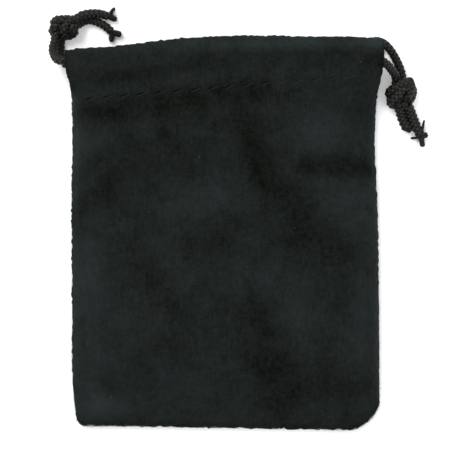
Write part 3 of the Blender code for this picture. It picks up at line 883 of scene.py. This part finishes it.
def across_at(q, y):
    return np.abs(q) * edge_x(q, y)


def rounded_edge(inset, radius):
    """0 at the bag's edge, rising to 1 this far inside it, as a quarter of a circle does."""
    return np.sqrt(np.clip(1 - (1 - np.clip(inset / radius, 0, 1)) ** 2, 0, 1))


def top_of_front(x, y):
    """The front cloth's outer face, from the seam at its edges over the belly to the mouth's roll."""
    full, inset, up = front_height(x, y), inset_of(x, y), up_casing(x, y)
    closed = SEAM_LEVEL + (full - SEAM_LEVEL) * rounded_edge(inset, FRONT_EDGE_RADIUS)
    free = full - 0.0004 * (1 - smoothstep(0, 0.001, inset))
    height = closed + (free - closed) * smoothstep(SLIT_FROM - 0.0015, SLIT_FROM + 0.003, up)
    rise, painted_fold_shade = folds(x, y)
    inside = smoothstep(0.0, 0.0045, inset)
    casing = smoothstep(0.0005, 0.0040, y - stitch_y(x))
    lanes = np.maximum(bell(up - LEFT_FRONT_LANE, LANE_RIDGE), bell(up - RIGHT_FRONT_LANE, LANE_RIDGE))
    height = height + casing * (LANE_RISE * lanes - CASING_DROP)
    soft = SOFT_LUMPS * crumple(x, y, 0.017, 3.1) + SMALL_LUMPS * crumple(x, y, 0.0065, 8.3)
    return height + (rise + soft * (1 - 0.7 * casing)) * np.maximum(inside, 0.25 * casing), painted_fold_shade


def face_of_back(x, y):
    """The back cloth's outer face, which lies on the table, and is drawn up to the seam at its edges."""
    wavy = BACK_LUMPS * (1 + crumple(x, y, 0.014, 5.5))
    return SEAM_LEVEL + (wavy - SEAM_LEVEL) * rounded_edge(inset_of(x, y), BACK_EDGE_RADIUS)


def cloth_rows(q):
    """The kind, height and angle of each row: bottom to stitching, casing, roll over the mouth, hem."""
    guess = q * HALF_WIDTH
    low, sewn, high = bottom_y(guess), stitch_y(guess), mouth_y(guess) - ROLL
    end = sewn - BELOW_STITCHES
    return [*(("belly", low + (sewn - low) * share, None) for share in BELLY_ROWS),
            *(("casing", sewn + (high - sewn) * share, None) for share in np.linspace(0, 1, 12)[1:]),
            *(("roll", high, math.radians(angle)) for angle in ROLL_ANGLES),
            *(("flap", high + (end - high) * share, None) for share in np.linspace(0, 1, 11))]


def cloth_grid(front):
    """Points of a panel with its hem, row by row: positions, the kind of each row, and the painted fold
    shade.
    """
    q = columns()
    places, kinds, painted_fold_shades = [], [], []
    outer, way = 0.0, 1 if front else -1
    for kind, y, angle in cloth_rows(q):
        x = across_at(q, y)
        painted_fold_shade = np.zeros_like(x)
        if kind in ("belly", "casing"):
            if front:
                z, painted_fold_shade = top_of_front(x, y)
                outer = z
            else:
                z = face_of_back(x, y)
        elif kind == "roll":
            z = outer - way * ROLL_RISE + way * ROLL_RISE * math.sin(angle)
            y = y + ROLL * math.cos(angle)
        else:
            sewn = smoothstep(0.0045, 0.0008, y - stitch_y(x) + BELOW_STITCHES)
            under = outer - way * CASING
            close = front_height(x, y) - PANEL - 0.0012 if front else PANEL + 0.0011
            z = under + (close - under) * sewn
        places.append(points_at(x, y, z))
        kinds.append(kind)
        painted_fold_shades.append(painted_fold_shade)
    return q, np.array(places), kinds, np.array(painted_fold_shades)


def grid_faces(rows, across):
    return [(i + j, i + j + 1, i + j + 1 + across, i + j + across)
            for i in range(0, (rows - 1) * across, across) for j in range(across - 1)]


def grid_mesh(name, places, kinds, front, painted_fold_shades):
    """The panel's mesh. Its hem ends at the slits, and so does the back panel's roll."""
    rows, across = places.shape[:2]
    flat = places.reshape(-1, 3)
    ends = {"flap": HEM_WIDTH} if front else {"roll": BACK_ROLL_END, "flap": BACK_ROLL_END}
    faces = [face if front else face[::-1] for face in grid_faces(rows, across)
             if abs(sum(flat[i, 0] for i in face)) / 4 <= ends.get(kinds[face[2] // across], math.inf)]
    mesh = bpy.data.meshes.new(name)
    mesh.from_pydata([tuple(p) for p in flat], [], faces)
    # The nap attribute holds the nap's lean together with painted shade in the folds, painted rim light and
    # shade, and patches of painted light and shade.
    nap_tone_and_painted_light = nap_and_painted_light(flat[:, 0], flat[:, 1], painted_fold_shades.ravel()) if front else np.zeros(len(flat))
    store(mesh, "nap", "FLOAT", nap_tone_and_painted_light)
    return mesh


# The cloth settles at ten times its size, which the solver handles better
SIM_SCALE = 10.0
SIM_FRAMES = 20
MOST_MOVED = 0.0012
CLOTH_SETTINGS = {"quality": 6, "mass": 0.25, "tension_stiffness": 12, "compression_stiffness": 12,
                  "shear_stiffness": 4, "bending_stiffness": 1.2, "air_damping": 2.0,
                  "vertex_group_mass": "held", "pin_stiffness": 4, "shrink_min": -0.012, "shrink_max": -0.012,
                  "use_pressure": True, "uniform_pressure_force": 1.2}


def simulate(places, kinds, q):
    """Lets the belly of the front cloth settle: held at its edges and its stitching, a little air in it."""
    sewn, across = kinds.count("belly"), len(q)
    flat = places[:sewn].reshape(-1, 3)
    mesh = bpy.data.meshes.new("settling cloth")
    mesh.from_pydata([tuple(p) for p in flat * SIM_SCALE], [], grid_faces(sewn, across))
    thing = add("settling cloth", mesh)
    inset = inset_of(flat[:, 0], flat[:, 1])
    from_stitch = stitch_y(flat[:, 0]) - flat[:, 1]
    held = 1 - np.minimum(smoothstep(0.0005, 0.006, inset), smoothstep(0.0002, 0.004, from_stitch))
    group = thing.vertex_groups.new(name="held")
    for i, weight in enumerate(held):
        if weight > 0:
            group.add([i], float(weight), "REPLACE")
    cloth = thing.modifiers.new("cloth", "CLOTH")
    for key, value in CLOTH_SETTINGS.items():
        setattr(cloth.settings, key, value)
    cloth.settings.effector_weights.gravity = 0.15
    cloth.collision_settings.use_collision = False
    cloth.collision_settings.use_self_collision = False
    scene = bpy.context.scene
    for step in range(1, SIM_FRAMES + 1):
        scene.frame_set(step)
    graph = bpy.context.evaluated_depsgraph_get()
    settled = points_of(thing.evaluated_get(graph).data) / SIM_SCALE
    scene.frame_set(1)
    bpy.data.objects.remove(thing)
    moved = settled - flat
    far = np.linalg.norm(moved, axis=1)
    moved *= (MOST_MOVED * np.tanh(far / MOST_MOVED) / np.maximum(far, 1e-9))[:, None]
    moved *= (1 - held)[:, None]
    settled = (flat + moved).reshape(sewn, across, 3)
    settled[:, :, 0] -= settled[:, across // 2, 0][:, None] * (1 - np.abs(q)) ** 2
    return np.concatenate([settled, places[sewn:]])


CREASE, CREASE_DEPTH = 0.0008, 0.00030
PUCKER, PUCKER_AWAY, PUCKER_RISE = 0.0011, 0.0014, 0.00013
COARSE_NOISE, FINE_NOISE = 900, 2100


def fine_detail(mesh, front):
    """What is smaller than the cloth's rough mesh: the sewn crease, its puckers, and an uneven edge."""
    places = points_of(mesh)
    x, y, z = places.T
    row = y - stitch_y(x)
    outer = (z > 0.5 * MOUTH_HEIGHT) if front else (z < 0.0006)
    covered = (smoothstep(STITCHED_FROM - 0.001, STITCHED_FROM + 0.002, x)
               * smoothstep(STITCHED_TO + 0.001, STITCHED_TO - 0.002, x))
    phase = 2 * math.pi * (x - STITCHED_FROM) / STITCH_PITCH
    pull = bell(np.abs(row) - PUCKER_AWAY, PUCKER)
    change = covered * (-CREASE_DEPTH * bell(row, CREASE) + PUCKER_RISE * pull * np.cos(phase + 900 * row))
    rim = np.maximum(1 - smoothstep(0.0, 0.0022, inset_of(x, y)), 0.8 * bell(y - mouth_y(x), 0.0016))
    uneven = noise_at(x * COARSE_NOISE, y * COARSE_NOISE, 3.0)
    small = noise_at(x * FINE_NOISE, y * FINE_NOISE, 9.0)
    nap = 0.00006 * uneven + 0.00004 * small
    outward = places[:, :2] / np.maximum(np.hypot(x, y), 1e-6)[:, None]
    places[:, :2] += outward * ((0.00014 + 0.00052 * uneven + 0.00042 * small) * rim)[:, None]
    places[:, 2] += (np.where(outer, change, 0) + nap if front
                     else np.where(outer, -change * 0.5, 0) + 0.3 * np.abs(nap))
    mesh.vertices.foreach_set("co", places.ravel())
    mesh.update()


def gather(piece):
    """Bakes the piece's placing into its mesh."""
    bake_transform(piece)


def put_in(piece, side, slot, *nodes):
    """A piece of one half of the bag, in place of these nodes of the part."""
    if nodes:
        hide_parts(*nodes)
    gather(piece)


def close_cut(shape):
    """Joins the outer and inner faces of the cloth along the cut, point by point."""
    number = shape.verts.layers.int["number"]
    open_edges = {}
    for edge in shape.edges:
        if edge.is_boundary:
            open_edges.setdefault(frozenset(vert[number] for vert in edge.verts), []).append(edge)
    for pair in open_edges.values():
        if len(pair) == 2:
            (a, b), (c, d) = pair[0].verts, pair[1].verts
            if a[number] != c[number]:
                c, d = d, c
            if pair[0].link_loops[0].vert == a:
                a, b, c, d = b, a, d, c
            shape.faces.new((a, b, d, c)).material_index = 1


def split(thing, name, looks, nodes):
    """Cuts a finished cloth along the middle of the bag into its two halves."""
    mesh = thing.data
    normals = np.empty(len(mesh.vertices) * 3, np.float32)
    mesh.vertex_normals.foreach_get("vector", normals)
    store(mesh, "whole_normal", "FLOAT_VECTOR", normals)
    halves = []
    for side, sign in (("left", -1), ("right", 1)):
        shape = bmesh.new()
        shape.from_mesh(mesh)
        gone = [face for face in shape.faces if face.calc_center_median().x * sign < 0]
        bmesh.ops.delete(shape, geom=gone, context="FACES")
        close_cut(shape)
        half = from_shape(f"{name}_{side}", shape)
        keep_places(half)
        normals = kept_in(half, "whole_normal", 3).reshape(-1, 3)
        half.attributes.remove(half.attributes["whole_normal"])
        half.shade_smooth()
        half.normals_split_custom_set_from_vertices([tuple(n) for n in normals])
        piece = add(f"{name}_{side}", half, *looks)
        put_in(piece, side, "velour", *nodes)
        halves.append(piece)
    bpy.data.objects.remove(thing)
    return halves


def make_cloth(name, front, looks):
    q, places, kinds, painted_fold_shades = cloth_grid(front)
    if front:
        places = simulate(places, kinds, q)
    thing = add(name, grid_mesh(name, places, kinds, front, painted_fold_shades), *looks)
    finer = thing.modifiers.new("finer", "SUBSURF")
    finer.levels = finer.render_levels = 1
    apply_modifiers(thing)
    fine_detail(thing.data, front)
    store(thing.data, "number", "INT", np.arange(len(thing.data.vertices)))
    thick = thing.modifiers.new("thickness", "SOLIDIFY")
    thick.thickness, thick.offset, thick.use_even_offset = CLOTH, -1, False
    thick.material_offset = thick.material_offset_rim = 1
    apply_modifiers(thing)
    return thing


# ---------------------------------------------------------------- stitching, seams, tacks and nap

STITCH_STEP = 0.00018
STITCH_SIDES = 8
STITCH_LIFT = 0.00026
STITCH_RADIUS = 0.00020
# Size and offset of the near-black strip of painted shadow beside each stitch.
SHADOW_STRIP_RADIUS = 0.00022
SHADOW_STRIP_SHIFT = (0.0004, 0.00052)
ALLOWANCE, ALLOWANCE_HEIGHT = 0.0036, 0.0015
ALLOWANCE_MIDDLE = PANEL + GAP + ALLOWANCE / 2 + 0.0001
ALLOWANCE_LEVEL = PANEL + GAP + ALLOWANCE_HEIGHT / 2 + 0.00015
STRIP_SIDES = 12
WAVES = 0.00008
OVERCAST_PITCH = 0.0017
OVERCAST_RADIUS = 0.00013
TACK_TURNS = 9
TACK_STEP = 0.00015
TACK_RADIUS = 0.00021
HAIR_RADIUS = 0.00005
EDGE_HAIR_STEP = 0.00013
MOUTH_HAIR_STEP = 0.00022
LINT_SHARE = 0.75


def twisted(around, along):
    return 1 + 0.12 * np.sin(2 * around + 9000 * along)


def make_stitches(which, tree, side, looks, dice):
    """A row of lock stitches: short slanted threads that sink into the nap, each beside a near-black strip of
    painted shadow where the nap is pinched.
    """
    name, front, meshes = f"{which}_stitching", which == "front", []
    for i in range(int((STITCHED_TO - STITCHED_FROM) / STITCH_PITCH)):
        start = STITCHED_FROM + (i + 0.12) * STITCH_PITCH
        middle = start + 0.36 * STITCH_PITCH
        if (middle < 0) != (side == "left"):
            continue
        length = STITCH_PITCH * dice.uniform(0.62, 0.80)
        tilt = dice.uniform(0.00045, 0.00070)
        faint = float(smoothstep(0.002, 0.020, middle))
        sunk = 0.00004 + dice.uniform(0, 0.00006) + 0.00017 * faint
        sunk += 0.00012 * float(smoothstep(-0.031, -0.038, middle))
        # Each stitch gets its thread, then a near-black strip beside it that paints the shadow of the pinched
        # nap.
        for thread in (True, False):
            shift_x, shift_y = (0, 0) if thread else SHADOW_STRIP_SHIFT
            points = []
            for t in np.linspace(0, 1, 9) if thread else np.linspace(0.02, dice.uniform(0.5, 0.8), 7):
                x = start + length * t - shift_x
                y = stitch_y(x) + tilt * (2 * t - 1) + shift_y
                ray_from = Vector((x, y, 0.03 if front else -0.01))
                hit = tree.ray_cast(ray_from, Vector((0, 0, -1 if front else 1)))[0]
                ground = hit.z if hit else (MOUTH_HEIGHT if front else 0.0)
                arch = STITCH_LIFT * math.sin(math.pi * t) ** 0.6 - 0.00022
                lift = arch - sunk + 0.00016 if thread else -0.00008
                points.append((x, y, ground + lift if front else ground - lift * 0.4))
            route = smooth_route(points, STITCH_STEP)
            t = np.linspace(0, 1, len(route))
            radius = STITCH_RADIUS if thread else SHADOW_STRIP_RADIUS * (1 - 0.5 * faint)
            radii = radius * (0.45 + 0.55 * np.sin(np.pi * t) ** 0.5)
            mesh = tube_mesh(f"{name}_{i}", route, radii, STITCH_SIDES, twisted)
            mesh.polygons.foreach_set("material_index", [0 if thread else 1] * len(mesh.polygons))
            meshes.append(mesh)
    row = joined(f"{name}_{side}", meshes, *looks)
    put_in(row, side, "thread", name)
    return row


def squared(angle, power):
    """The cosine and sine of an angle, squarer with a power below 1."""
    return [np.sign(value) * np.abs(value) ** power for value in (np.cos(angle), np.sin(angle))]


def strip_mesh(route, width, height):
    """A soft two-ply strip along a route: an oval section with its raw edge waving."""
    out, up = squared(np.linspace(0, 2 * math.pi, STRIP_SIDES, endpoint=False), 0.6)
    out, up = (out * width / 2)[None, :, None], (up * height / 2)[None, :, None]
    along = distances(route)
    wave = WAVES * np.sin(along / 0.0019) + 0.6 * WAVES * np.sin(along / 0.0007 + 1)
    across = np.cross(UP, directions(route))
    points = route[:, None, :] + (out + (out > 0) * wave[:, None, None]) * across[:, None, :] + up * UP
    first, last = range(STRIP_SIDES), (len(route) - 1) * STRIP_SIDES
    ends = [tuple(first)[::-1], tuple(last + k for k in first)]
    return mesh_of("strip", points.reshape(-1, 3), ring_faces(len(route), STRIP_SIDES) + ends)


def overcast(route, width, height):
    """The thread that binds a raw edge: loops round the strip."""
    along = distances(route)
    s = np.arange(0, along[-1], OVERCAST_PITCH / 10)
    angle = 2 * math.pi * s / OVERCAST_PITCH
    side = read_at(s, along, np.cross(UP, directions(route)))
    loop = (read_at(s, along, route) + side * (np.cos(angle) * width / 2)[:, None]
            + UP * (np.sin(angle) * height / 2)[:, None])
    return tube_mesh("binding", loop, OVERCAST_RADIUS, 6)


def make_seams(cloth_look, thread):
    """The sewn allowances inside the bag, each an overcast strip, for each half of the bag."""
    for side, sign in (("left", -1), ("right", 1)):
        top = SLIT_FROM - 0.002 + math.tan(SLANT) * sign * 0.05
        y = np.linspace(BOTTOM + CORNER_RADIUS + 0.004, top, 90)
        x = edge_x(np.full(y.shape, float(sign)), y) - sign * ALLOWANCE_MIDDLE
        up_side = points_at(x, y, ALLOWANCE_LEVEL)
        x = np.linspace(0, sign * (HALF_WIDTH - CORNER_RADIUS - 0.001), 60)
        along_bottom = points_at(x, BOTTOM + BOTTOM_RISE + ALLOWANCE_MIDDLE, ALLOWANCE_LEVEL)
        for name, seam, route, turned in (
                (f"{side}_side_seam", f"{side}_side_seam", up_side, sign < 0),
                (f"bottom_seam_{side}", "bottom_seam", along_bottom, False)):
            strip = strip_mesh(route[::-1] if turned else route,
                               ALLOWANCE - 0.0004, ALLOWANCE_HEIGHT - 0.0004)
            binding = overcast(route, ALLOWANCE - 0.0002, ALLOWANCE_HEIGHT - 0.0002)
            put_in(joined(f"{name}_allowance", [strip], cloth_look), side, "velour_back", seam)
            put_in(joined(f"{name}_overcast", [binding], thread), side, "thread", seam)


def make_tack(name, body, look):
    """A bar tack: close turns of thread over a thick core, standing across the slit's lower end."""
    low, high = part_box(name)
    middle, size = (low + high) / 2, high - low
    s = np.linspace(0, 1, TACK_TURNS * 22)
    out, up = squared(2 * math.pi * TACK_TURNS * s, 0.5)
    x, z = middle.x + size.x * 0.42 * out, middle.z + size.z * 0.42 * up
    y = low.y + 0.0003 + (size.y - 0.0007) * s + math.tan(SLANT) * (x - middle.x)
    route = smooth_route(points_at(x, y, z), TACK_STEP)
    turns = tube_mesh("turns", route, TACK_RADIUS, 7, lambda a, s: 1 + 0.12 * np.sin(2 * a + 8000 * s))
    core = bmesh.new()
    bmesh.ops.create_cube(core, size=1.0)
    bmesh.ops.subdivide_edges(core, edges=core.edges, cuts=4, use_grid_fill=True)
    for vert in core.verts:
        swell = 1.0 - 0.16 * (abs(vert.co.y) * 2) ** 2
        vert.co = Vector((middle.x + vert.co.x * size.x * 0.8 * swell, middle.y + vert.co.y * size.y * 0.86,
                          middle.z + vert.co.z * size.z * 0.8 * swell))
    core = from_shape("core", core)
    keep_places(core)
    tack = joined(f"{name}_thread", [turns, core], look)
    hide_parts(name)
    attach(tack, body)


def outline(step):
    """Points round the bag's outline from the left slit, round the bottom, to the right slit."""
    sides = []
    for sign in (-1.0, 1.0):
        y = np.arange(BOTTOM + corner_radius(sign), SLIT_FROM - 0.002, step)
        sides.append(np.stack([edge_x(np.full(y.shape, sign), y), y], axis=1))
    t = np.linspace(-1, 1, int(2.35 * HALF_WIDTH / step))
    q = 0.998 * np.tanh(2.2 * t) / math.tanh(2.2)
    y = bottom_y(q * HALF_WIDTH)
    return np.concatenate([sides[0][::-1], np.stack([across_at(q, y), y], axis=1), sides[1]])


def make_nap(look, lint):
    """Fine fibres that stand out along the bag's edges and its mouth, and pale lint along the bottom."""
    dice = random.Random(41)
    dark, pale = {"left": [], "right": []}, {"left": [], "right": []}

    def hair(start, way, length, kinds):
        way = Vector(way).normalized()
        curl = Vector([dice.gauss(0, 0.45) for _ in range(3)])
        middle = start + way * length * 0.55
        tip = middle + (way + curl).normalized() * length * 0.45
        start = start - way * 0.00025
        kinds["left" if start.x < 0 else "right"].append([start, middle, tip])

    for x, y in outline(EDGE_HAIR_STEP):
        place = Vector((x, y, SEAM_LEVEL + dice.uniform(-0.0007, 0.0016)))
        radius = float(corner_radius(x))
        if abs(x) > HALF_WIDTH - radius and y < BOTTOM + radius:
            out = Vector((x - math.copysign(HALF_WIDTH - radius, x), y - (BOTTOM + radius), 0))
        else:
            out = Vector((x, 0.0, 0.0) if abs(x) > 0.047 and y > BOTTOM + 0.004 else (0.15 * x, y, 0.0))
        out = out.normalized() + Vector([dice.gauss(0, 0.35) for _ in range(3)])
        place -= out * 0.0001
        hair(place, out, dice.uniform(0.0003, 0.0009), dark)
        if y < BOTTOM + 0.0045 and x > -0.045 and dice.random() < LINT_SHARE:
            hair(place, out, dice.uniform(0.0004, 0.0011), pale)
    for x in np.arange(-0.0512, 0.0514, MOUTH_HAIR_STEP):
        z = MOUTH_HEIGHT - ROLL_RISE + dice.uniform(-0.0018, 0.0021)
        place = Vector((x, mouth_y(x) - 0.0002, z))
        out = Vector((dice.gauss(0, 0.4), 1.0, dice.gauss(0, 0.5)))
        hair(place, out, dice.uniform(0.00025, 0.0007), dark)
    fibres = {}
    for side in ("left", "right"):
        fibres[side] = [hairs_object(f"nap_fibres_{side}", dark[side], look, HAIR_RADIUS),
                        hairs_object(f"lint_fibres_{side}", pale[side], lint, HAIR_RADIUS)]
        for piece in fibres[side]:
            put_in(piece, side, "velour")
    return fibres


def make_bag():
    velour, back, thread, lint = velour_look(), cloth_back_look(), thread_look(), lint_look()
    sewing = (thread, pucker_shadow_look())
    cloths = {"front": make_cloth("front_cloth", True, (velour, back)),
              "back": make_cloth("back_cloth", False, (velour, back))}
    graph = bpy.context.evaluated_depsgraph_get()
    trees = {which: BVHTree.FromObject(cloth, graph) for which, cloth in cloths.items()}
    dice = random.Random(23)
    for side in ("left", "right"):
        for which, tree in trees.items():
            make_stitches(which, tree, side, sewing, dice)
    make_seams(back, thread)
    make_tack("left_slit_tack", "right_pull", thread)
    make_tack("right_slit_tack", "left_pull", thread)
    fibres = make_nap(velour, lint)
    for which, cloth in cloths.items():
        halves = split(cloth, f"{which}_cloth", (velour, back), (f"{which}_panel", f"{which}_hem"))


make_camera()
make_floor()
make_light()
make_cords(braid_look())
make_bag()
